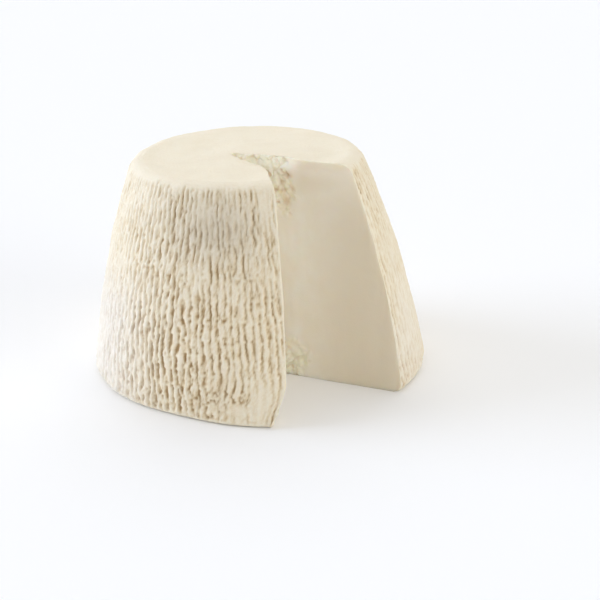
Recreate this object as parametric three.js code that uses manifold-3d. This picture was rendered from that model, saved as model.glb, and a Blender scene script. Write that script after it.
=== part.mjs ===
// A moulded round of fresh pressed ricotta, standing on its wide end, with one wedge cut out.
// Millimetres, +Z up. The origin is the middle of the round's foot, on the surface it stands on.
// The front is -Y; the wedge is missing from the front right.

import * as THREE from 'three';
import Module from 'manifold-3d';

const wasm = await Module();
wasm.setup();

const rad = THREE.MathUtils.degToRad;

// ---- driving dimensions ----

const FOOT_RADIUS = 100;         // where the side's curve would meet the surface it stands on
const HEIGHT = 129;              // at the round's own axis
const SIDE_SLOPE_FOOT = rad(7.9);   // the side's lean from upright, at the foot
const SIDE_SLOPE_TOP = rad(21.7);   // and at the top: the side is one gentle arc between the two
const SHOULDER_BEND = 9;         // bend between the side and the top
const FOOT_BEND = 4.5;           // bend between the side and the base

const LEAN_X = -7.2;             // how far the top has settled to the left
const LEAN_Y = -0.8;             // and to the front
const TOP_TILT = rad(1.5);       // the top rises to the right

const RIB_COUNT = 144;           // imprints of the basket's upright ribs
const RIB_DEPTH = 1.3;
const RIB_LOW = 2.5;             // the ribs run out above a smooth lip at the foot
const RIB_HIGH = 128;            // and in the bend at the shoulder
const RIB_FADE = 6;              // over this height
const FURROW_LEAST = 0.55;       // the shallowest furrow, as a share of the full depth
const RIDGE_WEAR = 0.3;          // the most worn ridge, as the same share

const LOBES = [                  // the round is slightly out of true: waves round it, amplitude and start
  { waves: 2, size: 0.7, start: 0.6, twist: 0 },
  { waves: 3, size: 0.5, start: 0, twist: 1 / 45 },   // this one turns as it rises
];
const SLUMP_DEPTH = 3.5;         // a flattened stretch of the foot, at the front left
const SLUMP_ANGLE = rad(-117);
const SLUMP_SPREAD = rad(18);
const SLUMP_HEIGHT = 22;

const TOP_UNEVEN = 0.9;          // rise and fall of the top's surface
const TOP_WAVE_X = 17;           // the length of its waves, over 2 pi
const TOP_WAVE_Y = 21;

const APEX_FOOT = new THREE.Vector2(-17.4, -12.6);   // where the two cuts meet, at the foot
const APEX_TOP = new THREE.Vector2(-16.1, -3.7);     // and at the top
const CUT_RIGHT = rad(-22.1);    // direction of the cut whose face looks to the front
const CUT_LEFT_FOOT = rad(-67.8);  // direction of the cut whose face looks to the right, at the foot
const CUT_LEFT_TOP = rad(-66.5);   // and at the top
const CUT_REACH = 150;           // length of each cut, well past the rind
const LEFT_SWELL = 7.2;          // the left cut stands proud near the top
const LEFT_SWELL_AT = 36;        // this far from the apex
const LEFT_SWELL_WIDTH = 17;
const LEFT_SWELL_DROP = 34;      // and fades over this height
const TORN_BACK = 2.6;           // the right cut's upper edge broke away this far behind the knife's path
const TORN_BACK_DROP = 8;        // and this far down
const TORN_BACK_START = 9;       // it begins this far out from the apex
const TORN_BACK_REACH = 44;      // and ends this far out
const TORN_BACK_EASE = 7;        // it grows and runs out over this length
const CORNER_LOSS = 8;           // the left cut's outer corner broke off at the foot, this far in
const CORNER_HEIGHT = 26;
const CORNER_WIDTH = 15;
const LEFT_CUT_LENGTH = 92.7;    // from the apex to the rind, at the foot
const CRUMBLE = 1.5;             // depth of the torn surface near the apex
const CRUMBLE_REACH = 46;        // how far from the apex it shows
const KNIFE_WAVE = 0.35;         // waves that the knife left in the faces
const KNIFE_WAVE_LENGTH = 9;     // over 2 pi

// how finely the curves are divided
const COLUMNS = RIB_COUNT * 2;   // one ridge and one furrow for each rib
const FOOT_STEPS = 3;
const SIDE_STEPS = 8;
const SHOULDER_STEPS = 3;
const TOP_RINGS = [0.86, 0.45];  // rings on the top, as shares of its radius
const WALL_STEPS = 14;           // along each cut
const WALL_CROWDING = 1.3;       // its steps are closer together near the apex
const WALL_ROWS = 12;
const CUT_MARGIN = 25;           // how far the cutting body runs past the round, above and below

// ---- helpers ----

// a repeatable number from 0 to 1 for a pair of whole numbers
function scatter(i, j) {
  const value = Math.sin(i * 127.1 + j * 311.7) * 43758.5453;
  return value - Math.floor(value);
}

// 0 below the first edge, 1 above the second, smooth between
function fade(edge0, edge1, value) {
  return THREE.MathUtils.smoothstep(value, edge0, edge1);
}

// a bell-shaped bump of height 1 round a middle
function bell(value, middle, spread) {
  const away = (value - middle) / spread;
  return Math.exp(-away * away);
}

// the smallest turn from one direction to another
function turnBetween(a, b) {
  return Math.atan2(Math.sin(a - b), Math.cos(a - b));
}

// a closed skin over a stack of rings with equally many points, each end closed by a fan
function loft(rings) {
  const count = rings[0].length;
  const points = rings.flat();
  const triangles = [];
  for (let ring = 0; ring < rings.length - 1; ring++) {
    for (let i = 0; i < count; i++) {
      const a = ring * count + i;
      const b = ring * count + (i + 1) % count;
      triangles.push(a, b, b + count);
      triangles.push(a, b + count, a + count);
    }
  }
  const middleOf = (ring) => ring
    .reduce((sum, point) => sum.add(point), new THREE.Vector3())
    .divideScalar(count);
  const low = points.push(middleOf(rings[0])) - 1;
  const high = points.push(middleOf(rings[rings.length - 1])) - 1;
  const last = (rings.length - 1) * count;
  for (let i = 0; i < count; i++) {
    const next = (i + 1) % count;
    triangles.push(low, next, i);
    triangles.push(high, last + i, last + next);
  }
  return { points, triangles };
}

// the skin as a solid that can be cut
function solidOf({ points, triangles }) {
  return new wasm.Manifold(new wasm.Mesh({
    numProp: 3,
    vertProperties: new Float32Array(points.flatMap((point) => point.toArray())),
    triVerts: new Uint32Array(triangles),
  }));
}

// and back to a three.js geometry
function geometryOf(solid) {
  const mesh = solid.getMesh();
  const geometry = new THREE.BufferGeometry();
  geometry.setAttribute('position', new THREE.Float32BufferAttribute(mesh.vertProperties, 3));
  geometry.setIndex([...mesh.triVerts]);
  geometry.computeVertexNormals();
  return geometry;
}

// ---- the round ----

// points of an arc: middle, radius, first and last direction, number of steps
function arc(middle, radius, from, to, steps) {
  return Array.from({ length: steps + 1 }, (_, i) => {
    const turn = from + (to - from) * i / steps;
    return new THREE.Vector2(middle.x + radius * Math.cos(turn), middle.y + radius * Math.sin(turn));
  });
}

// the upright outline, from the base's edge to the top's edge: three arcs, each tangent to the next
function outline() {
  const sideRadius = HEIGHT / (Math.sin(SIDE_SLOPE_TOP) - Math.sin(SIDE_SLOPE_FOOT));
  const side = new THREE.Vector2(
    FOOT_RADIUS - sideRadius * Math.cos(SIDE_SLOPE_FOOT),
    -sideRadius * Math.sin(SIDE_SLOPE_FOOT),
  );
  const bendMiddle = (bend, level) => new THREE.Vector2(
    side.x + Math.sqrt((sideRadius - bend) ** 2 - (level - side.y) ** 2),
    level,
  );
  const foot = bendMiddle(FOOT_BEND, FOOT_BEND);
  const shoulder = bendMiddle(SHOULDER_BEND, HEIGHT - SHOULDER_BEND);
  const footTurn = foot.clone().sub(side).angle();
  const shoulderTurn = shoulder.clone().sub(side).angle();
  return [
    ...arc(foot, FOOT_BEND, -Math.PI / 2, footTurn, FOOT_STEPS),
    ...arc(side, sideRadius, footTurn, shoulderTurn, SIDE_STEPS).slice(1),
    ...arc(shoulder, SHOULDER_BEND, shoulderTurn, Math.PI / 2, SHOULDER_STEPS).slice(1),
  ];
}

// how deep the basket's imprint is at a column: furrows lie between ridges, and both are broken
function imprint(column, row, z) {
  const zone = fade(RIB_LOW, RIB_LOW + RIB_FADE, z) * (1 - fade(RIB_HIGH - RIB_FADE, RIB_HIGH, z));
  const rib = Math.floor(column / 2);
  const furrow = column % 2 === 1;
  const broken = scatter(rib, row);
  const share = furrow ? THREE.MathUtils.lerp(FURROW_LEAST, 1, broken) : RIDGE_WEAR * broken;
  return zone * RIB_DEPTH * share;
}

// the round isn't a true circle: it is slightly lobed, and slumped at one side of its foot
function unevenness(turn, z) {
  const lobe = ({ waves, size, start, twist }) => size * Math.sin(waves * turn + start + twist * z);
  const lobes = LOBES.map(lobe).reduce((sum, value) => sum + value);
  const slump = SLUMP_DEPTH * bell(turnBetween(turn, SLUMP_ANGLE), 0, SLUMP_SPREAD);
  return lobes - slump * bell(z, 0, SLUMP_HEIGHT);
}

// leans the round and tilts its top; the base stays flat and in place
function settle(x, y, z) {
  const share = z / HEIGHT;
  return new THREE.Vector3(
    x + LEAN_X * share,
    y + LEAN_Y * share,
    z + share * x * Math.tan(TOP_TILT),
  );
}

// the top rises and falls a little, but not at its rim
function topRise(x, y, radius) {
  const inside = 1 - fade(TOP_RINGS[0], 1, Math.hypot(x, y) / radius);
  return inside * TOP_UNEVEN * Math.sin(x / TOP_WAVE_X + 1) * Math.cos(y / TOP_WAVE_Y);
}

function ricottaBody() {
  const profile = outline();
  const turns = Array.from({ length: COLUMNS }, (_, i) => 2 * Math.PI * i / COLUMNS);
  const sideRings = profile.map((point, row) => turns.map((turn, column) => {
    const radius = point.x + unevenness(turn, point.y) - imprint(column, row, point.y);
    return settle(radius * Math.cos(turn), radius * Math.sin(turn), point.y);
  }));
  const topRadius = profile[profile.length - 1].x;
  const topRings = TOP_RINGS.map((share) => turns.map((turn) => {
    const radius = share * topRadius;
    const x = radius * Math.cos(turn);
    const y = radius * Math.sin(turn);
    return settle(x, y, HEIGHT + topRise(x, y, topRadius));
  }));
  return loft([...sideRings, ...topRings]);
}

// ---- the missing wedge ----

// one point of a cut's face, out from the apex and up, moved sideways: anticlockwise, seen from above
function cutPoint(directionFoot, directionTop, out, z, proud) {
  const share = z / HEIGHT;
  const apex = APEX_FOOT.clone().lerp(APEX_TOP, share);
  const direction = THREE.MathUtils.lerp(directionFoot, directionTop, share);
  return new THREE.Vector3(
    apex.x + out * Math.cos(direction) - proud * Math.sin(direction),
    apex.y + out * Math.sin(direction) + proud * Math.cos(direction),
    z,
  );
}

// torn and pitted near the apex, lightly waved by the knife all along
function faceRelief(step, row, out) {
  const torn = 1 - fade(CRUMBLE_REACH / 2, CRUMBLE_REACH, out);
  return torn * CRUMBLE * (scatter(step, row) - 0.5) + KNIFE_WAVE * Math.sin(out / KNIFE_WAVE_LENGTH);
}

function leftPoint(step, row, out, z) {
  const nearTop = fade(HEIGHT - LEFT_SWELL_DROP, HEIGHT, z);
  const swell = LEFT_SWELL * bell(out, LEFT_SWELL_AT, LEFT_SWELL_WIDTH) * nearTop;
  const nearRind = fade(LEFT_CUT_LENGTH - CORNER_WIDTH, LEFT_CUT_LENGTH, out);
  const lost = CORNER_LOSS * (1 - fade(0, CORNER_HEIGHT, z)) * nearRind;
  return cutPoint(CUT_LEFT_FOOT, CUT_LEFT_TOP, out, z, swell - lost + faceRelief(step, row, out));
}

function rightPoint(step, row, out, z) {
  const nearTop = fade(HEIGHT - TORN_BACK_DROP, HEIGHT, z);
  const begun = fade(TORN_BACK_START, TORN_BACK_START + TORN_BACK_EASE, out);
  const ended = fade(TORN_BACK_REACH - TORN_BACK_EASE, TORN_BACK_REACH, out);
  const tornBack = TORN_BACK * nearTop * begun * (1 - ended);
  return cutPoint(CUT_RIGHT, CUT_RIGHT, out, z, tornBack - faceRelief(step + WALL_STEPS, row, out));
}

function missingWedge() {
  const steps = Array.from({ length: WALL_STEPS }, (_, i) => i + 1);
  const outs = steps.map((step) => CUT_REACH * (step / WALL_STEPS) ** WALL_CROWDING);
  const rings = Array.from({ length: WALL_ROWS + 1 }, (_, row) => {
    const z = THREE.MathUtils.lerp(-CUT_MARGIN, HEIGHT + CUT_MARGIN, row / WALL_ROWS);
    const apex = cutPoint(CUT_RIGHT, CUT_RIGHT, 0, z, 0);
    const left = outs.map((out, step) => leftPoint(step, row, out, z));
    const right = outs.map((out, step) => rightPoint(step, row, out, z));
    return [apex, ...left, ...right.reverse()];
  });
  return loft(rings);
}

// ---- the object ----

const curd = new THREE.MeshStandardMaterial({ color: '#e6dcc8', roughness: 0.75, metalness: 0 });

const cutRound = solidOf(ricottaBody()).subtract(solidOf(missingWedge()));
const round = new THREE.Mesh(geometryOf(cutRound), curd);
round.name = 'ricotta_round';

const cheese = new THREE.Group();
cheese.add(round);

export default cheese;
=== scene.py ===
import math

import bpy
import numpy as np
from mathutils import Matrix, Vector


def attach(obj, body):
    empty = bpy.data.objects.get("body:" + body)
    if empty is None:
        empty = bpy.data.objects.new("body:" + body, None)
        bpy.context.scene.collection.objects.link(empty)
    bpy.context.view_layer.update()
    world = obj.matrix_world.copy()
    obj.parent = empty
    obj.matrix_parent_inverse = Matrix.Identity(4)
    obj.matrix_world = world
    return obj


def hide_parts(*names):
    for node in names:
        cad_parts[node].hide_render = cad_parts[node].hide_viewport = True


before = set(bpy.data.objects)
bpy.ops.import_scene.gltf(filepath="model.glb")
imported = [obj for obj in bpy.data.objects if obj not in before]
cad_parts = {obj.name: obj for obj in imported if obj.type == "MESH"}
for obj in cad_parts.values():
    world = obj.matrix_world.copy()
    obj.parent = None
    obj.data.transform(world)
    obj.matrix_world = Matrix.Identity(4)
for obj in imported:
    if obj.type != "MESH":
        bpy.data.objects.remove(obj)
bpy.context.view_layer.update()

# A round of moulded ricotta: drained curd turned out of a basket with upright ribs,
# resting on its wide end, with one wedge taken out of it by two cuts of a knife.
# Sizes are millimetres until a point goes into a mesh; the round stands on z = 0.
# A level is a height above the foot, and turns run anticlockwise from the right, seen from above.

MM = 0.001

# ---- the round's true sizes, as in its solid ----

FOOT_RADIUS = 100.0      # where the side's curve would meet the surface it stands on
HEIGHT = 129.0           # at the round's own axis
SIDE_SLOPE_FOOT = math.radians(7.9)    # the side's lean from upright, at the foot
SIDE_SLOPE_TOP = math.radians(21.7)    # and at the top: the side is one gentle arc between the two
SHOULDER_BEND = 9.0      # bend between the side and the top
FOOT_BEND = 4.5          # bend between the side and the base
TOP_SETTLES_BY = np.array((-7.2, -0.8))    # how far the top has settled, to the left and to the front
TOP_TILT = math.radians(1.5)               # the top rises to the right
OVAL = 0.7               # the round is slightly out of true: a little oval
OVAL_START = 0.6         # this far into the oval's wave at the right, in radians
THREE_SIDED = 0.5        # and a little three-sided
THREE_SIDED_TWIST = 45.0     # which shifts by a radian in this height
SLUMP_DEPTH = 3.5        # a flattened stretch of the foot, at the front left
SLUMP_ANGLE = math.radians(-117)
SLUMP_SPREAD = math.radians(18)
SLUMP_HEIGHT = 22.0
TOP_UNEVEN = 0.9         # rise and fall of the top's surface
TOP_WAVE_ACROSS = 17.0   # the length of its waves, over 2 pi
TOP_WAVE_BACK = 21.0
TOP_WAVE_START = 1.0
TOP_WAVE_DROP = 30.0     # the cuts' faces follow the waves this far down
TOP_FLAT_SHARE = 0.86    # the waves run out between this share of the top's radius and its edge

APEX_FOOT = np.array((-17.4, -12.6))   # where the two cuts meet, at the foot
APEX_TOP = np.array((-16.1, -3.7))     # and at the top
CUT_RIGHT = math.radians(-22.1)        # direction of the cut whose face looks to the front
CUT_LEFT_FOOT = math.radians(-67.8)    # direction of the cut whose face looks to the right, at the foot
CUT_LEFT_TOP = math.radians(-66.5)     # and at the top
LEFT_SWELL = 7.2          # the left cut stands proud near the top
LEFT_SWELL_AT = 36.0      # this far from the apex
LEFT_SWELL_WIDTH = 17.0
LEFT_SWELL_DROP = 34.0    # and fades over this height
TORN_BACK = 2.6           # the right cut's upper edge broke away this far behind the knife's path
TORN_BACK_DROP = 8.0      # and this far down
TORN_BACK_START = 9.0     # it begins this far out from the apex
TORN_BACK_REACH = 44.0    # and ends this far out
TORN_BACK_EASE = 7.0      # it grows and runs out over this length
CORNER_LOSS = 8.0         # the left cut's outer corner broke off at the foot, this far in
CORNER_HEIGHT = 26.0
CORNER_WIDTH = 15.0
CARRY = 14.0              # how far the surface beside a cut follows the cut's swells and losses
KNIFE_WAVE = 0.35         # waves that the knife left in the faces
KNIFE_WAVE_LENGTH = 9.0   # over 2 pi

RIB_COUNT = 144           # imprints of the basket's ribs round the whole side
RIB_DEPTH = 1.3
RIB_LOW = 0.5             # the ribs run out above the foot
RIB_HIGH = 128.0          # and in the bend at the shoulder
RIB_FADE = 4.5            # over this height

# ---- how finely the surface is divided ----

COLUMNS = 640             # round the side, from one cut to the other
SIDE_STEPS = 78
FOOT_STEPS = 6
SHOULDER_STEPS = 8
CUT_STEPS = 44            # along a cut, from the apex to the rind
TORN_CUTS = 2             # more cuts through each edge where a face is torn
THINNED_INSIDE = (56, 24, 12.5, 6.5)    # radii on the top inside which every second column ends
SPACING_SAMPLES = 2000
PLAIN_SWEEP = math.radians(310)     # turn of the plain body, which is eased to the true cuts afterwards
TRUE_SWEEP = math.radians(313)      # turn between the true cuts, about

# ---- how near is as good as touching ----

NEAR = 1e-3               # millimetres
NEAR_TURN = 1e-5          # radians
NEAR_ALONG = 1e-6         # share of the sweep
NEAR_AXIS = 1e-4          # share of the way out from the axis
NEAR_RIND = 1e-3          # share of the way out that is left to the rind
SMALLEST_SHARE = 1e-3     # of the way out, so that nothing is divided by 0
SHORTEST_EDGE = 0.1       # of the top's edges towards its middle, in millimetres
MERGE_METRES = 5e-6

# ---- repeatable random numbers ----

WORD = 0xFFFFFFFF         # keeps them to 32 bits
LOW_BITS = 0xFFFFFF       # the bits that give a share from 0 to 1
LUMP_GAIN = 1.6           # brings the lumps up to about -1 to 1


# ---- helpers ----

def fade(low, high, value):
    """0 below low, 1 above high, smooth between."""
    share = np.clip((value - low) / (high - low), 0, 1)
    return share * share * (3 - 2 * share)


def bell(value, middle, spread):
    """A bump of height 1 round a middle."""
    return np.exp(-((value - middle) / spread) ** 2)


def scatter(i, j, seed):
    """A repeatable number from 0 to 1 for each pair of whole numbers."""
    n = (i.astype(np.int64) * 374761393 + j.astype(np.int64) * 668265263 + seed * 362437) & WORD
    for shift, factor in ((13, 1274126177), (15, 461845907)):
        n = ((n ^ (n >> shift)) * factor) & WORD
    return ((n ^ (n >> 16)) & LOW_BITS) / LOW_BITS


def smooth_step(share):
    """The share from 0 to 1, with a softer start and end than fade gives."""
    return share * share * share * (share * (share * 6 - 15) + 10)


def lumps(x, y, wide, high, seed, slant=0.0):
    """A smooth random rise and fall, mostly within -1 to 1, with lumps about this wide and high."""
    x, y = x / wide + slant, y / high
    i, j = np.floor(x), np.floor(y)
    u, v = x - i, y - j
    corners = []
    for di in (0, 1):
        for dj in (0, 1):
            turn = 2 * math.pi * scatter(i + di, j + dj, seed)
            corners.append((u - di) * np.cos(turn) + (v - dj) * np.sin(turn))
    near = corners[0] + (corners[1] - corners[0]) * smooth_step(v)
    far = corners[2] + (corners[3] - corners[2]) * smooth_step(v)
    return LUMP_GAIN * (near + (far - near) * smooth_step(u))


def with_lumps(height, x, y, layers, first_seed=0):
    """The height with layers of lumps on it; a layer is how much, how wide, how high and its seed."""
    for amount, wide, high, seed in layers:
        height = height + amount * lumps(x, y, wide, high, first_seed + seed)
    return height


def grains(x, y, seed):
    """Crumbs one unit across: how far each place is from its crumb's middle, and the crumb's own number."""
    i, j = np.floor(x), np.floor(y)
    nearest, own = np.full(x.shape, np.inf), np.zeros(x.shape)
    for di in (-1, 0, 1):
        for dj in (-1, 0, 1):
            a, b = i + di, j + dj
            away = np.hypot(x - a - scatter(a, b, seed), y - b - scatter(a, b, seed + 1))
            own = np.where(away < nearest, scatter(a, b, seed + 2), own)
            nearest = np.minimum(nearest, away)
    return nearest, own


def evenly(count, spacing):
    """Shares from 0 to 1 in count steps, each as wide as spacing says at its place."""
    where = np.linspace(0, 1, SPACING_SAMPLES + 1)
    travelled = np.concatenate(([0], np.cumsum(1 / spacing(where[:-1] + 0.5 / SPACING_SAMPLES))))
    return np.interp(np.linspace(0, travelled[-1], count + 1), travelled, where)


def places_of(obj):
    """The obj's points, in millimetres."""
    found = np.zeros(len(obj.data.vertices) * 3, np.float32)
    obj.data.vertices.foreach_get("co", found)
    return found.reshape(-1, 3).astype(np.float64) / MM


def move_to(obj, places):
    obj.data.vertices.foreach_set("co", (places * MM).astype(np.float32).ravel())
    obj.data.update()


def pick(obj, kind, chosen):
    """Selects the chosen points or edges, with what lies between them, and stays in edit mode."""
    bpy.ops.object.mode_set(mode="EDIT")
    bpy.ops.mesh.select_mode(type=kind)
    bpy.ops.mesh.select_all(action="DESELECT")
    bpy.ops.object.mode_set(mode="OBJECT")
    parts = obj.data.vertices if kind == "VERT" else obj.data.edges
    parts.foreach_set("select", np.ascontiguousarray(chosen))
    bpy.ops.object.mode_set(mode="EDIT")


# ---- the plain turned body: an upright section swung round, from one cut to the other ----

def arc(middle, radius, first, last, steps):
    turn = np.linspace(first, last, steps + 1)
    return np.stack((middle[0] + radius * np.cos(turn), middle[1] + radius * np.sin(turn)), 1)


def outline():
    """Radius and height of the side, from the base's edge to the top's edge: three arcs."""
    side_radius = HEIGHT / (math.sin(SIDE_SLOPE_TOP) - math.sin(SIDE_SLOPE_FOOT))
    side = np.array((
        FOOT_RADIUS - side_radius * math.cos(SIDE_SLOPE_FOOT),
        -side_radius * math.sin(SIDE_SLOPE_FOOT),
    ))

    def bend_middle(bend, level):
        return np.array((side[0] + math.sqrt((side_radius - bend) ** 2 - (level - side[1]) ** 2), level))

    foot = bend_middle(FOOT_BEND, FOOT_BEND)
    shoulder = bend_middle(SHOULDER_BEND, HEIGHT - SHOULDER_BEND)
    foot_turn = math.atan2(*(foot - side)[::-1])
    shoulder_turn = math.atan2(*(shoulder - side)[::-1])
    return np.concatenate((
        arc(foot, FOOT_BEND, -math.pi / 2, foot_turn, FOOT_STEPS),
        arc(side, side_radius, foot_turn, shoulder_turn, SIDE_STEPS)[1:],
        arc(shoulder, SHOULDER_BEND, shoulder_turn, math.pi / 2, SHOULDER_STEPS)[1:],
    ))


PROFILE = outline()
LEVELS = PROFILE[:, 1]


def rim_at(level):
    """The side's radius at a level."""
    return np.interp(level, LEVELS, PROFILE[:, 0])


def polar(places):
    """How far each place is from the axis, and its turn from 0 up."""
    return np.hypot(places[:, 0], places[:, 1]), np.arctan2(places[:, 1], places[:, 0]) % (2 * math.pi)


def cut_spacing(share):
    """Columns along a cut lie closer together where the curd is torn and beside the rind."""
    return 1.9 - 0.7 * bell(share, middle=0.3, spread=0.22) - 1.3 * bell(share, middle=1, spread=0.06)


def upright_section():
    """Half of the upright section, as a grid with its left side on the axis."""
    rows = len(LEVELS) - 1
    bpy.ops.mesh.primitive_grid_add(x_subdivisions=CUT_STEPS, y_subdivisions=rows, size=2)
    section = bpy.context.object
    square = places_of(section) * MM
    column = np.rint((square[:, 0] + 1) / 2 * CUT_STEPS).astype(int)
    row = np.rint((square[:, 1] + 1) / 2 * rows).astype(int)
    radius = evenly(CUT_STEPS, cut_spacing)[column] * PROFILE[row, 0]
    move_to(section, np.stack((radius, np.zeros_like(radius), LEVELS[row]), 1))
    return section


def turned_body():
    """The section's outline screwed round its axis, with a copy of the section closing each end."""
    first_wall = upright_section()
    plain = places_of(first_wall)
    on_rim = plain[:, 0] > rim_at(plain[:, 2]) - NEAR
    on_outline = on_rim | (plain[:, 2] < NEAR) | (plain[:, 2] > HEIGHT - NEAR)

    bpy.ops.object.duplicate()
    skin = bpy.context.object
    pick(skin, "VERT", ~on_outline)
    bpy.ops.mesh.delete(type="VERT")
    bpy.ops.object.mode_set(mode="OBJECT")
    screw = skin.modifiers.new("turned", "SCREW")
    screw.axis = "Z"
    screw.angle = PLAIN_SWEEP
    screw.steps = screw.render_steps = COLUMNS
    bpy.ops.object.modifier_apply(modifier="turned")

    bpy.ops.object.select_all(action="DESELECT")
    first_wall.select_set(True)
    bpy.context.view_layer.objects.active = first_wall
    bpy.ops.object.duplicate()
    last_wall = bpy.context.object
    last_wall.rotation_euler.z = PLAIN_SWEEP
    bpy.ops.object.transform_apply(location=False, rotation=True, scale=False)

    skin.select_set(True)
    first_wall.select_set(True)
    bpy.context.view_layer.objects.active = skin
    bpy.ops.object.join()
    bpy.ops.object.mode_set(mode="EDIT")
    bpy.ops.mesh.select_all(action="SELECT")
    bpy.ops.mesh.remove_doubles(threshold=MERGE_METRES)
    bpy.ops.mesh.normals_make_consistent(inside=False)
    bpy.ops.object.mode_set(mode="OBJECT")
    skin.name = skin.data.name = "ricotta_curd"
    return skin


# where the curd broke instead of cutting: each pair is the two levels, or the two shares of the
# way out, between which a tear sets in or ends
TORN_TOP_FROM, TORN_TOP_OUT_TO = (93, 103), (0.45, 0.53)       # beside the apex, near the top
TORN_FOOT_TO, TORN_FOOT_OUT_TO = (13, 26), (0.40, 0.52)        # and at the foot
TORN_CORNER_TO, TORN_CORNER_OUT_FROM = (16, CORNER_HEIGHT), (0.84, 0.92)


def torn_zone(share, level, on_left):
    """How torn a cut's face is at a share of the way out and a level; the tears' edges wander."""
    share = share + 0.09 * lumps(share * 9, level, 1, 7, seed=63)
    level = level + 4 * lumps(share * 9, level, 1, 9, seed=64)
    high = fade(*TORN_TOP_FROM, level) * (1 - fade(*TORN_TOP_OUT_TO, share))
    low = (1 - fade(*TORN_FOOT_TO, level)) * (1 - fade(*TORN_FOOT_OUT_TO, share))
    corner = on_left * (1 - fade(*TORN_CORNER_TO, level)) * fade(*TORN_CORNER_OUT_FROM, share)
    return np.maximum(np.maximum(high, low), corner)


def divide_torn_zones(body):
    """Divides the walls more finely where they are torn."""
    plain = places_of(body)
    radius, turn = polar(plain)
    share = radius / rim_at(plain[:, 2])
    on_left = np.abs(turn - PLAIN_SWEEP) < NEAR_TURN
    on_right = (turn < NEAR_TURN) | (turn > 2 * math.pi - NEAR_TURN)
    on_wall = (radius < NEAR) | on_right | on_left
    pick(body, "VERT", on_wall & (torn_zone(share, plain[:, 2], on_left) > 0.01))
    bpy.ops.mesh.subdivide(number_cuts=TORN_CUTS)
    bpy.ops.object.mode_set(mode="OBJECT")


def thin_the_top(body):
    """Takes out every second column of the top's faces at each of some radii on the way in."""
    plain = places_of(body)
    radius, turn = polar(plain)
    column = np.rint(turn / PLAIN_SWEEP * COLUMNS).astype(int)
    ends = np.zeros(len(body.data.edges) * 2, np.int32)
    body.data.edges.foreach_get("vertices", ends)
    a, b = ends.reshape(-1, 2).T
    inner = np.where(radius[a] < radius[b], a, b)
    outer = np.where(radius[a] < radius[b], b, a)
    flat = (plain[a, 2] > HEIGHT - NEAR) & (plain[b, 2] > HEIGHT - NEAR)
    in_one_column = (column[inner] == column[outer]) | (radius[inner] < NEAR)
    radial = flat & in_one_column & (radius[outer] - radius[inner] > SHORTEST_EDGE)
    spare = np.zeros(len(a), bool)
    for halving, inside in enumerate(THINNED_INSIDE):
        every = 2 ** (halving + 1)
        spare |= (column[outer] % every == every // 2) & (radius[outer] < inside)
    pick(body, "EDGE", spare & radial & (column[outer] > 0) & (column[outer] < COLUMNS))
    bpy.ops.mesh.dissolve_edges(use_verts=True, use_face_split=False)
    bpy.ops.object.mode_set(mode="OBJECT")


def join_the_base(body):
    """Makes the flat base one face."""
    pick(body, "VERT", places_of(body)[:, 2] < NEAR)
    bpy.ops.mesh.dissolve_faces()
    bpy.ops.object.mode_set(mode="OBJECT")


bpy.ops.object.select_all(action="DESELECT")
body = turned_body()
divide_torn_zones(body)
thin_the_top(body)
join_the_base(body)


# ---- the plain body eased to the round's true shape ----

class Spots:
    """Where each point of the plain body lies: its level, its share of the way out and of the sweep."""

    def __init__(self, plain):
        radius, turn = polar(plain)
        turn[turn > (PLAIN_SWEEP + 2 * math.pi) / 2] = 0
        self.level = plain[:, 2]
        self.share = np.clip(radius / rim_at(self.level), 0, 1)
        self.along = np.clip(turn / PLAIN_SWEEP, 0, 1)
        self.on_top = self.level > HEIGHT - NEAR
        self.on_base = self.level < NEAR
        self.on_side = self.share > 1 - NEAR_RIND
        at_axis = self.share < NEAR_AXIS
        self.on_right_wall = at_axis | (self.along < NEAR_ALONG)
        self.on_left_wall = at_axis | (self.along > 1 - NEAR_ALONG)
        self.on_wall = self.on_right_wall | self.on_left_wall


def out_of_true(turn, level):
    """How far the round bulges from a true circle: two slow waves, and a slump at the front left."""
    waves = OVAL * np.sin(2 * turn + OVAL_START)
    waves = waves + THREE_SIDED * np.sin(3 * turn + level / THREE_SIDED_TWIST)
    away = np.arctan2(np.sin(turn - SLUMP_ANGLE), np.cos(turn - SLUMP_ANGLE))
    return waves - SLUMP_DEPTH * bell(away, 0, SLUMP_SPREAD) * bell(level, 0, SLUMP_HEIGHT)


def column_spacing(along):
    """How wide a column is at its share of the sweep: about half as wide right beside a cut."""
    return 1 - 0.45 * (bell(along, 0, spread=0.012) + bell(along, 1, spread=0.012))


def crowd_at_cuts(along):
    """Brings the columns closer together beside both cuts."""
    return np.interp(along, np.linspace(0, 1, COLUMNS + 1), evenly(COLUMNS, column_spacing))


def way_to_the_rind(level, bearing, heading, offset):
    """Where a line from the apex meets the rind: the turn there round the round's own axis, and how far."""
    turn = bearing
    for _ in range(4):    # the bulge depends on the turn; four passes settle it
        rim = rim_at(level) + out_of_true(turn, level)
        half = (offset * heading).sum(1)
        reach = -half + np.sqrt(half ** 2 - (offset ** 2).sum(1) + rim ** 2)
        edge = offset + heading * reach[:, None]
        raw = np.arctan2(edge[:, 1], edge[:, 0])
        turn = bearing + np.arctan2(np.sin(raw - bearing), np.cos(raw - bearing))
    return turn, reach


def top_waves(level, across, back):
    """The slow rise and fall of the top, which runs out towards its edge and down the cuts' faces."""
    inside = 1 - fade(TOP_FLAT_SHARE, 1, np.hypot(across, back) / PROFILE[-1, 0])
    waves = np.sin(across / TOP_WAVE_ACROSS + TOP_WAVE_START) * np.cos(back / TOP_WAVE_BACK)
    return inside * TOP_UNEVEN * waves * fade(HEIGHT - TOP_WAVE_DROP, HEIGHT, level)


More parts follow.
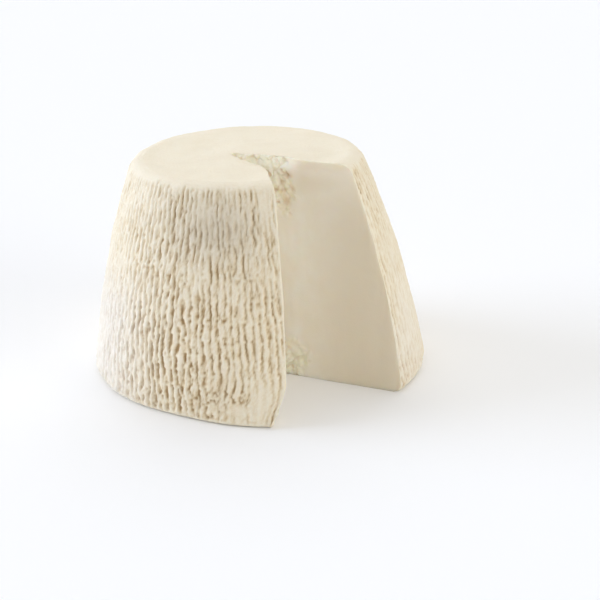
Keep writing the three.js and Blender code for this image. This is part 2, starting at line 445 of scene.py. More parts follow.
def left_cut_shift(level, reach, out):
    """How far the left cut stands proud of its plane, less what its outer corner lost at the foot."""
    swell = LEFT_SWELL * bell(out, LEFT_SWELL_AT, LEFT_SWELL_WIDTH)
    swell = swell * fade(HEIGHT - LEFT_SWELL_DROP, HEIGHT, level)
    corner = CORNER_LOSS * (1 - fade(0, CORNER_HEIGHT, level)) * (1 - fade(1, CORNER_WIDTH, reach - out))
    return swell - corner


def right_cut_shift(level, out):
    """How far the right cut's upper edge is torn back."""
    torn_back = TORN_BACK * fade(HEIGHT - TORN_BACK_DROP, HEIGHT, level)
    torn_back = torn_back * fade(TORN_BACK_START, TORN_BACK_START + TORN_BACK_EASE, out)
    return torn_back * (1 - fade(TORN_BACK_REACH - TORN_BACK_EASE, TORN_BACK_REACH, out))


def ease(spots):
    """The true place of each point, the turn round the round's own axis and the way out from the apex."""
    lift = spots.level / HEIGHT
    apex = APEX_FOOT + (APEX_TOP - APEX_FOOT) * lift[:, None]
    axis = TOP_SETTLES_BY * lift[:, None]
    last = 2 * math.pi + CUT_LEFT_FOOT + (CUT_LEFT_TOP - CUT_LEFT_FOOT) * lift
    bearing = CUT_RIGHT + (last - CUT_RIGHT) * crowd_at_cuts(spots.along)
    heading = np.stack((np.cos(bearing), np.sin(bearing)), 1)
    turn, reach = way_to_the_rind(spots.level, bearing, heading, apex - axis)
    out = spots.share * reach
    flat = apex + heading * out[:, None]
    across, back = (flat - axis).T
    height = spots.level + lift * across * math.tan(TOP_TILT) + top_waves(spots.level, across, back)
    beside_left = np.exp(-out * np.abs(bearing - last) / CARRY)
    beside_right = np.exp(-out * np.abs(bearing - CUT_RIGHT) / CARRY)
    shift = left_cut_shift(spots.level, reach, out) * beside_left
    shift = shift + right_cut_shift(spots.level, out) * beside_right
    anticlockwise = np.stack((-heading[:, 1], heading[:, 0]), 1)
    return np.column_stack((flat + anticlockwise * shift[:, None], height)), turn, out


spots = Spots(places_of(body))
shaped, turn, out = ease(spots)
move_to(body, shaped)


# ---- the edges of the cuts, rounded by handling ----

def cut_distances(spots, out):
    """How far each point is from the nearer cut along its arc, and from the rind along a cut."""
    reach = out / np.maximum(spots.share, SMALLEST_SHARE)
    return np.minimum(spots.along, 1 - spots.along) * TRUE_SWEEP * out, reach - out


# how wide the smoothed band is on the skin and on the cut, and how often it is smoothed
RIND_EDGE = (3.0, 2.6, 8)
TOP_EDGE = (1.6, 1.5, 4)
BAND_WANDER = 0.5


def round_the_edges(body, spots, out):
    """Smooths a narrow band along every cut edge, wider in some places than in others."""
    from_cut, from_rind = cut_distances(spots, out)
    wander = 1 + BAND_WANDER * lumps(spots.level, out / 9 + 40 * spots.along, 9, 1, seed=5)
    along_rind = (spots.on_side, from_rind, RIND_EDGE)
    along_top = (spots.on_top, HEIGHT - spots.level, TOP_EDGE)
    for on_skin, from_skin, (skin_band, cut_band, passes) in (along_rind, along_top):
        near_edge = on_skin & (from_cut < skin_band * wander)
        near_edge = near_edge | spots.on_wall & (from_skin < cut_band * wander)
        pick(body, "VERT", near_edge & ~spots.on_base)
        bpy.ops.mesh.vertices_smooth(factor=0.5, repeat=passes)
        bpy.ops.object.mode_set(mode="OBJECT")


round_the_edges(body, spots, out)


# ---- the rind's relief: basket ribs, broken and matted like bark ----

# places where the rind was smoothed or dented: turn in degrees and level of the middle,
# half the width of each, how smooth, how deep
HANDLED = (
    (218, 116, 16, 14, 0.15, 0.0),
    (252, 116, 5, 6, 0.55, 0.6),
    (258, 103, 20, 15, 0.00, 1.6),
    (267, 112, 8, 3, 0.45, 0.3),
    (279.5, 118, 3.5, 14, 0.90, 0.2),
    (265.5, 9, 4.4, 4.6, 0.92, 2.4),
    (273, 12, 4, 10, 0.80, 0.2),
    (348, 45, 22, 60, 0.66, 0.0),
    (188, 20, 12, 14, 0.50, 0.4),
    (140, 96, 14, 9, 0.60, 0.8),
    (62, 40, 12, 12, 0.60, 0.9),
)

# places on the rind that differ from the rest: turn in degrees, half width, level, half height
RAGGED = (261, 9, 15, 5)               # short torn marks and wide furrows, low at the front
PAINTED_UPPER_SHADE = (258, 20, 107, 18)              # painted shade: greyer, near the top of the front
CALM_TURN, CALM_HALF_TURN = 275, 20    # straighter, shallower ribs in the low part beside the left cut
LOW_PART = (45, 85)                    # levels between which the low part of the side ends
LEFT_FROM = (120, 165)                 # turns between which the left, with its shallow ribs, sets in
LEFT_TO = (205, 240)                   # and ends
PAINTED_LIGHT_LEFT_FROM = (150, 180)          # turns between which the low part there gets painted light, paler and less yellow
PAINTED_LIGHT_RIGHT, PAINTED_LIGHT_RIGHT_HALF_TURN = -20, 18     # the other place of painted light, beside the right cut
PAINTED_LIGHT_RIGHT_TO = (25, 75)             # levels between which it ends
PAINTED_LIGHT_RIGHT_WANDER = 22               # how far they wander
PAINTED_LIGHT_RIGHT_SHARE = 0.7               # and how much painted light it gets, compared with the left

SIDE_RADIUS = 88.0        # the side's middling radius, which makes millimetres of a turn

# layers of lumps: how much, how wide, how high, seed
RIB_WANDER = ((0.36, 12, 22, 11), (0.28, 4.6, 7, 12), (0.12, 2.2, 3, 27))     # in ribs' spacings
SIDE_SWELLS = ((0.05, 1.6, 2.0, 23), (0.28, 11, 13, 20), (0.5, 32, 34, 21))

# what breaks up the even ribs: how much, how much less where calm, how much more where ragged,
# how wide, how high, seed
MATTED = (0.60, 0.20, 0.0, 2.3, 6, 14)
STREAKED = (0.40, 0.25, 0.0, 2.3, 20, 25)
BROKEN = (0.70, 0.0, 0.7, 1.25, 2.0, 15)

EVEN_RIBS = 0.54               # how much there is of the even ribs
FEWER_ABOVE = 0.12             # and how much less in the upper part
ABOVE = (40, 75)
FEWER_WHERE_RAGGED = 0.45
WIDER_WHERE_RAGGED = 0.2
STRAIGHTER_WHERE_CALM = 0.3
SHORTER_ABOVE = 1 / 900        # the marks get a little shorter higher up
SLANT, SLANT_SIZE = 1.5, 20    # the marks lean to and fro
FURROW_SHARPNESS = 2.0         # how sharply a ridge turns into a furrow
RIDGE_WIDTH = 0.40             # how much wider the ridges are than the furrows
DEEPEST = 0.25                 # how much deeper the middle of a wide furrow is

# how deep the furrows are, as a share of RIB_DEPTH
USUAL_DEPTH = 0.86
DEPTH_WANDER, DEPTH_WANDER_SIZE = 0.32, 18
DEEPER_BELOW, BELOW_TO = 0.22, (50, 80)
SHALLOWER_WHERE_CALM = 0.25
DEEPER_WHERE_RAGGED = 0.20
SHALLOWER_AT_THE_LEFT = 0.34

CLEAR_OF_CUT = (0.8, 3.6)     # the ribs set in between these distances from a cut
FINE_GRAIN = 0.16             # height of the rind's finest grain
FOOT_LUMPS, FOOT_LUMPS_TO = 0.7, (5, 13)     # height of the lumps above the foot, and where they end
FOOT_PITS, FOOT_PITS_TO = 0.9, (6, 17)       # depth of the pits there, and where they end
FOOT_PIT_SHADE = 0.6          # and how much painted shade they get, from 0 to 1


def soft_patch(degrees, level, place):
    """1 at the middle of a place on the rind, fading to 0 round it."""
    turn, half_turn, middle, half_height = place
    return bell(degrees, turn, half_turn) * bell(level, middle, half_height)


def handled(turn, level):
    """How smooth and how deeply dented the rind is."""
    smooth, dent = np.zeros_like(level), np.zeros_like(level)
    for middle, height, half_turn, half_height, amount, depth in HANDLED:
        away = (np.degrees(turn) - middle + 180) % 360 - 180
        patch = soft_patch(away, level, (0, half_turn, height, half_height))
        smooth = np.maximum(smooth, amount * patch)
        dent = dent + depth * patch
    return smooth, dent


def furrow_pattern(turn, level, calm, ragged):
    """How far down a furrow each place is: 0 on a ridge, 1 in a furrow, a little more in a wide one."""
    around = turn * SIDE_RADIUS
    wander = with_lumps(0, around, level, RIB_WANDER)
    ribs = np.cos(turn * RIB_COUNT + 2 * math.pi * wander * (1 - STRAIGHTER_WHERE_CALM * calm))
    even = EVEN_RIBS - FEWER_ABOVE * fade(*ABOVE, level) - FEWER_WHERE_RAGGED * ragged
    ridge = even * ribs - WIDER_WHERE_RAGGED * ragged
    slant = SLANT * lumps(around, level, SLANT_SIZE, SLANT_SIZE, seed=13)
    rise = level * (1 + level * SHORTER_ABOVE)
    for amount, less, more, wide, high, seed in (MATTED, STREAKED, BROKEN):
        amount = amount - less * calm + more * ragged
        ridge = ridge + amount * lumps(around, rise, wide, high, seed, slant)
    step = np.tanh(FURROW_SHARPNESS * ridge + RIDGE_WIDTH)
    return 0.5 - 0.5 * step + DEEPEST * fade(0.5, 1.1, -ridge)


def furrow_depth(turn, level, calm, ragged):
    """How deep the furrows are, as a share of the ribs' full depth."""
    degrees = np.degrees(turn)
    wander = lumps(turn * SIDE_RADIUS, level, DEPTH_WANDER_SIZE, DEPTH_WANDER_SIZE, seed=18)
    depth = USUAL_DEPTH + DEPTH_WANDER * wander
    depth = depth + DEEPER_BELOW * (1 - fade(*BELOW_TO, level)) - SHALLOWER_WHERE_CALM * calm
    depth = depth + DEEPER_WHERE_RAGGED * ragged
    return depth - SHALLOWER_AT_THE_LEFT * fade(*LEFT_FROM, degrees) * (1 - fade(*LEFT_TO, degrees))


def ribbed_zone(around, level, smooth, from_cut):
    """Where the ribs show: not at the foot, in the shoulder's bend, beside a cut or where smoothed."""
    lower_edge = level + 3.0 * lumps(around, level, 5, 9, seed=16)
    upper_edge = level + 2.5 * lumps(around, level, 9, 9, seed=17)
    zone = fade(RIB_LOW, RIB_LOW + RIB_FADE, lower_edge)
    zone = zone * (1 - fade(RIB_HIGH - RIB_FADE, RIB_HIGH, upper_edge))
    return zone * (1 - smooth) * fade(*CLEAR_OF_CUT, from_cut)


def rind_relief(turn, level, from_cut):
    """Height of the rind, and how hollow each place is."""
    around = turn * SIDE_RADIUS
    degrees = np.degrees(turn)
    calm = bell(degrees, CALM_TURN, CALM_HALF_TURN) * (1 - fade(*LOW_PART, level))
    ragged = soft_patch(degrees, level, RAGGED)
    smooth, dent = handled(turn, level)
    furrow = furrow_pattern(turn, level, calm, ragged)
    depth = furrow_depth(turn, level, calm, ragged)
    zone = ribbed_zone(around, level, smooth, from_cut)
    grain = FINE_GRAIN * lumps(around, level, 1.1, 1.4, seed=19)
    height = with_lumps(-zone * (depth * RIB_DEPTH * furrow + grain) - dent, around, level, SIDE_SWELLS)
    height = height + FOOT_LUMPS * lumps(around, level, 7, 6, seed=24) * (1 - fade(*FOOT_LUMPS_TO, level))
    pits = (1 - smooth) * (1 - fade(*FOOT_PITS_TO, level))
    pits = pits * fade(0.1, 0.6, lumps(around, level, 2.9, 3.0, seed=26))
    # the finish darkens the furrows by this: partly the rind's own tan, partly painted shade in the furrows
    hollow = zone * np.clip(depth, 0, 1.2) * furrow
    return height - FOOT_PITS * pits, np.maximum(hollow, FOOT_PIT_SHADE * pits)


# ---- the top's and the cuts' relief ----

# layers of lumps: how much, how wide, how high, seed
TOP_LUMPS = ((0.35, 21, 21, 31), (0.16, 8, 8, 32), (0.07, 2.6, 2.6, 33))
KNIFE_DRAG = ((0.26, 1.8, 34, 13), (0.22, 4.5, 60, 14))
RIGHT_SEED = 51
LEFT_SEED = 71
TORN_TOP_SEED = 91

CRUMB_WIDTH, CRUMB_HEIGHT = 3.3, 3.8
CRUMB_UNEVEN, CRUMB_GAPS = 0.9, 0.8     # how unevenly the crumbs stand, and how deep the gaps between are
FINE_WIDTH, FINE_HEIGHT = 1.5, 1.6
FINE_UNEVEN, FINE_GAPS = 0.35, 0.3
MISSING_CRUMBS = 0.86     # crumbs whose own number is above this fell out
MISSING_DEPTH = 1.2
DARKER_FINE = 0.8         # fine crumbs whose own number is above this are a little darker
MISSING_SHADE, GAP_SHADE, FINE_SHADE = 0.4, 0.08, 0.05     # how dark each of them is, from 0 to 1: painted shade where crumbs are missing and in the gaps, the fine crumbs' own tone

# where lumps of curd fell out of the right cut near the top:
# way out and level of the middle, half width, depth
FALLEN_OUT = (
    (35.5, 119.5, 2.0, 1.7),
    (32.0, 115.0, 1.7, 1.0),
    (33.0, 110.5, 2.0, 1.0),
    (38.5, 111.5, 1.6, 0.8),
    (28.5, 110.5, 1.7, 1.0),
    (34.5, 104.5, 2.8, 0.9),
)
FALLEN_OUT_EDGE = 1.9     # their edges wander by lumps of this size
DARKEST_DEPTH = 2.2       # a pit this deep gets the most painted shade

UNDER_SKIN = 0.9          # the right cut gives way this much just under the top's skin
UNDER_SKIN_AT, UNDER_SKIN_HALF = HEIGHT - 4.5, 3
UNDER_SKIN_FROM, UNDER_SKIN_TO = (38, 50), (70, 80)        # way out between which that sets in, and ends

SKIN_TEAR = (2.5, 5)      # how wide the top's skin is torn beside a cut, and how much wider
SKIN_TEAR_WIDEST, SKIN_TEAR_SPREAD = 22, 9     # this far out, over this length
SKIN_TEAR_TO = (36, 44)   # way out between which the tear ends
SKIN_TEAR_RELIEF = 0.25   # share of the crumbs' relief that shows in it
SKIN_TEAR_SHADE = 0.10    # painted shade in the tear
SKIN_TEAR_PITS = 0.5      # and how much more painted shade where its crumbs are missing

# way out and levels between which a cut's face gets warm painted shade, and how much
WARM_SHADE_OUT_FROM = (40, 85)                                              # towards the rind, fully
WARM_SHADE_TOP, WARM_SHADE_TOP_FROM, WARM_SHADE_TOP_OUT_FROM = 0.85, (HEIGHT - 26, HEIGHT - 10), (34, 46)
WARM_SHADE_FOOT, WARM_SHADE_FOOT_TO, WARM_SHADE_FOOT_OUT_TO = 0.6, (30, 80), (22, 45)


def crumbs(out, level, seed):
    """Broken curd: round grains, some of them missing, and how hollow each place is."""
    warp = 0.35 * lumps(out, level, 4, 4, seed + 5)
    away, own = grains(out / CRUMB_WIDTH + warp, level / CRUMB_HEIGHT - warp, seed + 1)
    fine, fine_own = grains(out / FINE_WIDTH, level / FINE_HEIGHT, seed + 3)
    below_skin = 1 - fade(HEIGHT - 4, HEIGHT - 2, level)
    missing = (own > MISSING_CRUMBS) * (1 - fade(0.15, 0.50, away)) * below_skin
    height = CRUMB_UNEVEN * (own - 0.5) - CRUMB_GAPS * fade(0.25, 0.75, away)
    height = height - MISSING_DEPTH * missing + FINE_UNEVEN * (fine_own - 0.5) - FINE_GAPS * fine
    # painted shade where crumbs are missing and between crumbs; the darker fine crumbs are their own tone
    hollow = MISSING_SHADE * missing + GAP_SHADE * fade(0.35, 0.75, away)
    hollow = hollow + FINE_SHADE * (fine_own > DARKER_FINE)
    return height, np.clip(hollow, 0, 1)


def fallen_out(out, level):
    """How deep the pits of the right cut are, and how much painted shade they get."""
    deep = np.zeros_like(level)
    edge = FALLEN_OUT_EDGE
    shifted_out = out + lumps(out, level, edge, edge, seed=61)
    shifted_level = level + lumps(out, level, edge, edge, seed=62)
    for middle, height, half, depth in FALLEN_OUT:
        away = ((shifted_out - middle) / half) ** 2 + ((shifted_level - height) / half) ** 2
        deep = deep + depth * np.exp(-away)
    return deep, np.clip(deep / DARKEST_DEPTH, 0, 1)


def wall_relief(out, level, torn, seed):
    """Height of a cut's face and how hollow each place is: the knife's drag, or crumbs where it is torn."""
    broken, hollow = crumbs(out, level, seed)
    drag = with_lumps(0, out, level, KNIFE_DRAG, seed)
    swell = 0.35 * lumps(out, level, 22, 28, seed + 15) + KNIFE_WAVE * np.sin(out / KNIFE_WAVE_LENGTH)
    return swell + (1 - torn) * drag + torn * broken, torn * hollow


def side_above_the_base(spots):
    """1 on the side, running out just above the base."""
    return spots.on_side * fade(0.5, 4, spots.level)


def carve_side(spots, turn, from_cut):
    """How each point of the side moves, and how hollow it is."""
    lift = spots.level / HEIGHT
    slope_gain = math.sin(SIDE_SLOPE_TOP) - math.sin(SIDE_SLOPE_FOOT)
    slope = np.arcsin(math.sin(SIDE_SLOPE_FOOT) + lift * slope_gain)
    outward = np.column_stack((np.cos(turn) * np.cos(slope), np.sin(turn) * np.cos(slope), np.sin(slope)))
    height, furrow = rind_relief(turn, spots.level, from_cut)
    side = side_above_the_base(spots)
    return outward * (side * height)[:, None], side * furrow


def carve_top(spots, places, from_cut, out):
    """How far each point of the top rises, and how hollow it is, with torn curd beside the apex."""
    rise = with_lumps(0, places[:, 0], places[:, 1], TOP_LUMPS)
    tear_width = SKIN_TEAR[0] + SKIN_TEAR[1] * bell(out, SKIN_TEAR_WIDEST, SKIN_TEAR_SPREAD)
    beside_tear = spots.on_top * (1 - fade(0.2 * tear_width, tear_width, from_cut))
    beside_tear = beside_tear * (1 - fade(*SKIN_TEAR_TO, out))
    split, painted_pit_shade = crumbs(out, 40 + from_cut, TORN_TOP_SEED)
    top = spots.on_top * (1 - 0.6 * fade(0.9, 1, spots.share))    # the lumps are lower near the edge
    # painted shade in the top's torn skin and in its pits
    hollow = beside_tear * (SKIN_TEAR_SHADE + SKIN_TEAR_PITS * painted_pit_shade)
    return top * rise + SKIN_TEAR_RELIEF * beside_tear * split, hollow


def carve_cuts(spots, out, torn):
    """How each point of the two cuts' faces moves, and how hollow it is."""
    level = spots.level
    last = CUT_LEFT_FOOT + (CUT_LEFT_TOP - CUT_LEFT_FOOT) * (level / HEIGHT)
    right_faces = np.array((math.sin(CUT_RIGHT), -math.cos(CUT_RIGHT)))
    left_faces = np.column_stack((-np.sin(last), np.cos(last)))
    right_height, right_hollow = wall_relief(out, level, torn, RIGHT_SEED)
    left_height, left_hollow = wall_relief(out, level, torn, LEFT_SEED)
    lost, dark = fallen_out(out, level)
    under_skin = UNDER_SKIN * bell(level, UNDER_SKIN_AT, UNDER_SKIN_HALF)
    under_skin = under_skin * fade(*UNDER_SKIN_FROM, out) * (1 - fade(*UNDER_SKIN_TO, out))
    right_height = right_height - lost - under_skin
    right_hollow = np.maximum(right_hollow, dark)
    # the line where the cuts meet stays in place, and so does the base
    free = fade(0, 0.04, spots.share) * (1 - spots.on_base)
    moved = right_faces * (spots.on_right_wall * free * right_height)[:, None]
    moved = moved + left_faces * (spots.on_left_wall * free * left_height)[:, None]
    return moved, np.maximum(spots.on_right_wall * right_hollow, spots.on_left_wall * left_hollow)


def carve(body, spots, turn, out, torn):
    """Moves each point along the way its surface faces; gives back how hollow each place is."""
    places = places_of(body)
    from_cut, _ = cut_distances(spots, out)
    moved, side_hollow = carve_side(spots, turn, from_cut)
    rise, top_hollow = carve_top(spots, places, from_cut, out)
    cut_moved, cut_hollow = carve_cuts(spots, out, torn)
    moved[:, :2] += cut_moved
    moved[:, 2] += rise
    moved[:, 2] *= 1 - spots.on_base
    move_to(body, places + moved)
    return np.maximum(np.maximum(side_hollow, top_hollow), cut_hollow)


def note_places(body, spots, turn, out, torn, hollow):
    """Keeps on each point what its finish goes by, each from 0 to about 1."""
    level = spots.level
    degrees = np.degrees(turn)
    side = side_above_the_base(spots)
    # painted shade: the upper front is greyer
    painted_upper_shade = side * soft_patch(degrees, level, PAINTED_UPPER_SHADE)
    # painted light: paler, less yellow low at the left and low beside the right cut
    low_left = fade(*PAINTED_LIGHT_LEFT_FROM, degrees) * (1 - fade(*LEFT_TO, degrees))
    low_left = low_left * (1 - fade(*LOW_PART, level))
    cloud = lumps(turn * 5, level, 1, 16, seed=65)
    low_right = PAINTED_LIGHT_RIGHT_SHARE * bell(degrees, PAINTED_LIGHT_RIGHT, PAINTED_LIGHT_RIGHT_HALF_TURN)
    low_right = low_right * (0.85 + 0.3 * cloud)
    low_right = low_right * (1 - fade(*PAINTED_LIGHT_RIGHT_TO, level + PAINTED_LIGHT_RIGHT_WANDER * cloud))
    painted_light = side * np.maximum(low_left, low_right)
    # warm painted shade on the cuts' faces: towards the rind, under the top and at the foot
    outer = fade(*WARM_SHADE_OUT_FROM, out)
    upper = WARM_SHADE_TOP * fade(*WARM_SHADE_TOP_FROM, level) * fade(*WARM_SHADE_TOP_OUT_FROM, out)
    lower = WARM_SHADE_FOOT * (1 - fade(*WARM_SHADE_FOOT_TO, level)) * (1 - fade(*WARM_SHADE_FOOT_OUT_TO, out))
    painted_warm_shade = spots.on_wall * np.maximum(np.maximum(outer, upper), lower)
    fresh = spots.on_wall * torn
    notes = (("hollow", hollow), ("painted_upper_shade", painted_upper_shade), ("painted_light", painted_light), ("painted_warm_shade", painted_warm_shade), ("fresh", fresh))
    for name, amount in notes:
        note = body.data.attributes.new(name, "FLOAT", "POINT")
        note.data.foreach_set("value", amount.astype(np.float32))


torn = torn_zone(spots.share, spots.level, spots.on_left_wall)
hollow = carve(body, spots, turn, out, torn)
note_places(body, spots, turn, out, torn, hollow)
bpy.ops.object.select_all(action="DESELECT")
body.select_set(True)
bpy.context.view_layer.objects.active = body
bpy.ops.object.shade_smooth_by_angle(angle=math.radians(75))


# ---- finishes ----

def colour(hex_value):
    """An sRGB colour such as "#f2ead8" as the linear values that a shader takes."""
    parts = [int(hex_value[i:i + 2], 16) / 255 for i in (1, 3, 5)]
    linear = [p / 12.92 if p <= 0.04045 else ((p + 0.055) / 1.055) ** 2.4 for p in parts]
    return (*linear, 1.0)


def add(tree, kind, inputs=(), **settings):
    """Adds a node with its settings; inputs holds a value or another node's output for each socket."""
    node = tree.nodes.new(kind)
    for name, value in settings.items():
        setattr(node, name, value)
    for socket, value in dict(inputs).items():
        if isinstance(value, bpy.types.NodeSocket):
            tree.links.new(value, node.inputs[socket])
        else:
            node.inputs[socket].default_value = value
    return node


def sized(millimetres):
    """The scale that makes a noise pattern's spots about this wide."""
    return 1 / (millimetres * MM)


def finish_named(name):
    material = bpy.data.materials.new(name)
    material.use_nodes = True
    material.node_tree.nodes.clear()
    return material, material.node_tree


# Fresh curd is a wet gel round fine grains, so light goes a little way into it, red the furthest.
CURD_IOR = 1.4
CURD_DEPTHS = (1.0, 0.75, 0.45)


def pressed_rind():
    """Drained curd, a little drier where it touched the basket.

    Matt and cream, darker down in the furrows, partly its own tan and partly painted shade, with faint
    stains, painted shade that greys a place near the top of the front, and painted light that makes
    places low down paler. Its grain, about 0.4 mm wide, is drawn at 1.1 mm, or it wouldn't show.
    """
    material, tree = finish_named("basket_pressed_ricotta_rind")
    place = add(tree, "ShaderNodeTexCoord").outputs["Object"]

    hollow = add(tree, "ShaderNodeAttribute", attribute_name="hollow").outputs["Fac"]
    speckle = add(tree, "ShaderNodeTexNoise", {
        "Vector": place, "Scale": sized(1.4), "Detail": 2.0, "Roughness": 0.6,
    }).outputs["Fac"]
    uneven = add(tree, "ShaderNodeMath", {0: speckle, 1: 0.4, 2: -0.2}, operation="MULTIPLY_ADD").outputs[0]
    depth = add(tree, "ShaderNodeMath", {0: hollow, 1: uneven}, operation="ADD", use_clamp=True).outputs[0]
    tones = add(tree, "ShaderNodeValToRGB", {"Fac": depth})
    tones.color_ramp.elements.new(0.5)
    # the furrows' tan is partly the rind's own colour and partly painted shade
    ridge, slope, furrow = (0.0, "#f5ebd4"), (0.45, "#e8d6b3"), (1.0, "#ba9a6d")
    for stop, (position, hex_value) in zip(tones.color_ramp.elements, (ridge, slope, furrow)):
        stop.position = position
        stop.color = colour(hex_value)

    patches = add(tree, "ShaderNodeTexNoise", {
        "Vector": place, "Scale": sized(22), "Detail": 3.0, "Roughness": 0.6,
    }).outputs["Fac"]
    stain = add(tree, "ShaderNodeMapRange", {
        "Value": patches, "From Min": 0.45, "From Max": 0.75, "To Max": 0.35,
    }).outputs["Result"]
    stained = add(tree, "ShaderNodeMix", {
        "Factor": stain, "A": tones.outputs["Color"], "B": colour("#e9dbc0"),
    }, data_type="RGBA")

    # painted shade: a greyer place near the top of the front
    painted_upper_shade = add(tree, "ShaderNodeAttribute", attribute_name="painted_upper_shade").outputs["Fac"]
    greying = add(tree, "ShaderNodeMath", {0: painted_upper_shade, 1: 0.60}, operation="MULTIPLY").outputs[0]
    greyed = add(tree, "ShaderNodeMix", {
        "Factor": greying, "A": stained.outputs["Result"], "B": colour("#cbbfaa"),
    }, data_type="RGBA")

    # painted light: paler, less yellow places low down
    painted_light = add(tree, "ShaderNodeAttribute", attribute_name="painted_light").outputs["Fac"]
    paling = add(tree, "ShaderNodeMath", {0: painted_light, 1: 0.55}, operation="MULTIPLY").outputs[0]
    paled = add(tree, "ShaderNodeMix", {
        "Factor": paling, "A": greyed.outputs["Result"], "B": colour("#f2ede6"),
    }, data_type="RGBA")

    grain = add(tree, "ShaderNodeTexNoise", {
        "Vector": place, "Scale": sized(1.1), "Detail": 4.0, "Roughness": 0.6,
    }).outputs["Fac"]
    bump = add(tree, "ShaderNodeBump", {"Height": grain, "Strength": 0.6, "Distance": 0.8 * MM})
    shader = add(tree, "ShaderNodeBsdfPrincipled", {
        "Base Color": paled.outputs["Result"], "Roughness": 0.62, "IOR": CURD_IOR,
        "Normal": bump.outputs["Normal"], "Subsurface Weight": 0.1,
        "Subsurface Radius": CURD_DEPTHS, "Subsurface Scale": 2 * MM,
    })
    add(tree, "ShaderNodeOutputMaterial", {"Surface": shader.outputs["BSDF"]})
    return material


def cut_curd():
    """The inside of the round, opened by a knife: fine, moist curd, smoother and whiter than the rind.

    Towards the rind, under the top and at the foot it carries warm painted shade; it is palest where it
    broke, and has painted shade in its pits.
    Its grain, about 0.3 mm wide, is drawn at 0.9 mm, or it wouldn't show.
    """
    material, tree = finish_named("knife_cut_ricotta")
    place = add(tree, "ShaderNodeTexCoord").outputs["Object"]

    patches = add(tree, "ShaderNodeTexNoise", {
        "Vector": place, "Scale": sized(17), "Detail": 3.0, "Roughness": 0.6,
    }).outputs["Fac"]
    wetness = add(tree, "ShaderNodeMapRange", {
        "Value": patches, "From Min": 0.35, "From Max": 0.65,
    }).outputs["Result"]
    curd = add(tree, "ShaderNodeMix", {
        "Factor": wetness, "A": colour("#f9f3e7"), "B": colour("#f6eedd"),
    }, data_type="RGBA")

    # warm painted shade towards the rind, under the top and at the foot
    painted_warm_shade = add(tree, "ShaderNodeAttribute", attribute_name="painted_warm_shade").outputs["Fac"]
    warm_shaded = add(tree, "ShaderNodeMix", {
        "Factor": painted_warm_shade, "A": curd.outputs["Result"], "B": colour("#e9ddc5"),
    }, data_type="RGBA")
    fresh = add(tree, "ShaderNodeAttribute", attribute_name="fresh").outputs["Fac"]
    broken = add(tree, "ShaderNodeMix", {
        "Factor": fresh, "A": warm_shaded.outputs["Result"], "B": colour("#fdf5e0"),
    }, data_type="RGBA")
    # painted shade in the pits and the gaps of the torn curd
    hollow = add(tree, "ShaderNodeAttribute", attribute_name="hollow").outputs["Fac"]
    painted_pit_shade = add(tree, "ShaderNodeMix", {
        "Factor": hollow, "A": broken.outputs["Result"], "B": colour("#c8a068"),
    }, data_type="RGBA")

    grain = add(tree, "ShaderNodeTexNoise", {
        "Vector": place, "Scale": sized(0.9), "Detail": 4.0, "Roughness": 0.6,
    }).outputs["Fac"]
    bump = add(tree, "ShaderNodeBump", {"Height": grain, "Strength": 0.35, "Distance": 0.4 * MM})
    shader = add(tree, "ShaderNodeBsdfPrincipled", {
        "Base Color": painted_pit_shade.outputs["Result"], "Roughness": 0.55, "IOR": CURD_IOR,
        "Normal": bump.outputs["Normal"], "Subsurface Weight": 0.5,
        "Subsurface Radius": CURD_DEPTHS, "Subsurface Scale": 4 * MM,
    })
    add(tree, "ShaderNodeOutputMaterial", {"Surface": shader.outputs["BSDF"]})
    return material


def white_board():
    """Matt white studio board with a faint tooth, about 0.5 mm wide, which is drawn at 2.5 mm."""
    material, tree = finish_named("matt_white_board")
    place = add(tree, "ShaderNodeTexCoord").outputs["Object"]
    tooth = add(tree, "ShaderNodeTexNoise", {"Vector": place, "Scale": sized(2.5)}).outputs["Fac"]
    bump = add(tree, "ShaderNodeBump", {"Height": tooth, "Strength": 0.1, "Distance": 0.2 * MM})
    shader = add(tree, "ShaderNodeBsdfPrincipled", {
        "Base Color": colour("#fcfcfc"), "Roughness": 0.9, "Normal": bump.outputs["Normal"],
    })
    add(tree, "ShaderNodeOutputMaterial", {"Surface": shader.outputs["BSDF"]})
    return material


def give_finishes(body, spots):
    """Cut curd on the faces that the knife made, rind on all the others."""
    body.data.materials.append(pressed_rind())
    body.data.materials.append(cut_curd())
    kinds = [int(all(spots.on_wall[v] for v in face.vertices)) for face in body.data.polygons]
    body.data.polygons.foreach_set("material_index", kinds)


give_finishes(body, spots)
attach(body, "root")
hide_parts("ricotta_round")


# ---- floor, light and camera ----

BOARD_METRES = 40
SKY_DIMMEST = 0.19
SKY_LOBES = (("X", -1, 0.44), ("X", 1, 0.28), ("Z", 1, 0.60), ("Y", 1, 0.42))    # axis, side, brightness
CAMERA_PLACE = (0.0241, -0.7867, 0.3464)
CAMERA_LOOKS_DOWN = math.radians(21.48)
CAMERA_LENS = 84

bpy.ops.mesh.primitive_plane_add(size=BOARD_METRES, location=(0, 0, 0))
floor = bpy.context.object
floor.name = "studio_floor"
floor.data.materials.append(white_board())


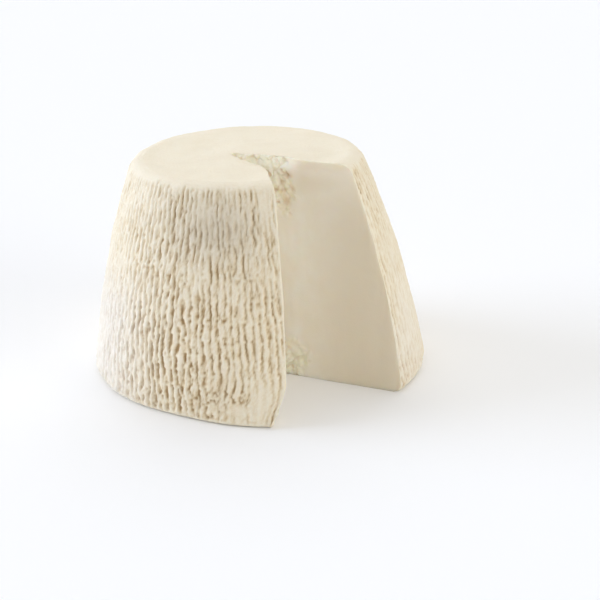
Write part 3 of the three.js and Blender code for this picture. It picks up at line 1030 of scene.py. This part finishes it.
def daylight(name, toward, strength, wide, tint="#ffffff"):
    """A broad soft light that falls evenly on the whole board; toward points at it, wide is in degrees."""
    light = bpy.data.lights.new(name, "SUN")
    light.color = colour(tint)[:3]
    light.angle = math.radians(wide)
    light.energy = strength
    holder = bpy.data.objects.new(name, light)
    holder.rotation_euler = Vector(toward).to_track_quat("Z", "Y").to_euler()
    bpy.context.scene.collection.objects.link(holder)


def studio_sky():
    """A soft tent: bright overhead and at both sides, dimmer in front, and plain white behind the round."""
    world = bpy.data.worlds.new("studio_tent")
    world.use_nodes = True
    tree = world.node_tree
    tree.nodes.clear()
    way = add(tree, "ShaderNodeTexCoord").outputs["Generated"]
    parts = add(tree, "ShaderNodeSeparateXYZ", {"Vector": way}).outputs
    total = SKY_DIMMEST
    for axis, side, brightness in SKY_LOBES:
        lobe = add(tree, "ShaderNodeMath", {0: parts[axis], 1: side}, operation="MULTIPLY", use_clamp=True)
        square = add(tree, "ShaderNodeMath", {0: lobe.outputs[0], 1: 2.0}, operation="POWER").outputs[0]
        sum_of_lobes = {0: square, 1: brightness, 2: total}
        total = add(tree, "ShaderNodeMath", sum_of_lobes, operation="MULTIPLY_ADD").outputs[0]
    seen = add(tree, "ShaderNodeLightPath").outputs["Is Camera Ray"]
    shown = add(tree, "ShaderNodeMath", {0: total, 1: seen}, operation="MAXIMUM").outputs[0]
    sky = add(tree, "ShaderNodeBackground", {"Color": colour("#ffffff"), "Strength": shown})
    add(tree, "ShaderNodeOutputWorld", {"Surface": sky.outputs["Background"]})
    bpy.context.scene.world = world


studio_sky()
daylight("overhead_light", toward=(0, 0.9, 1.45), strength=0.62, wide=61)
daylight("left_light", toward=(-1.5, 0.08, 0.33), strength=2.36, wide=46, tint="#dde8ff")
daylight("right_light", toward=(1.28, -0.8, 0.29), strength=1.12, wide=42)

camera = bpy.data.objects.new("studio_camera", bpy.data.cameras.new("studio_camera"))
bpy.context.scene.collection.objects.link(camera)
camera.location = CAMERA_PLACE
camera.rotation_euler = (math.radians(90) - CAMERA_LOOKS_DOWN, 0, 0)
camera.data.sensor_width = 36
camera.data.lens = CAMERA_LENS
camera.data.clip_start = 0.01
bpy.context.scene.camera = camera
bpy.context.scene.view_settings.view_transform = "Standard"
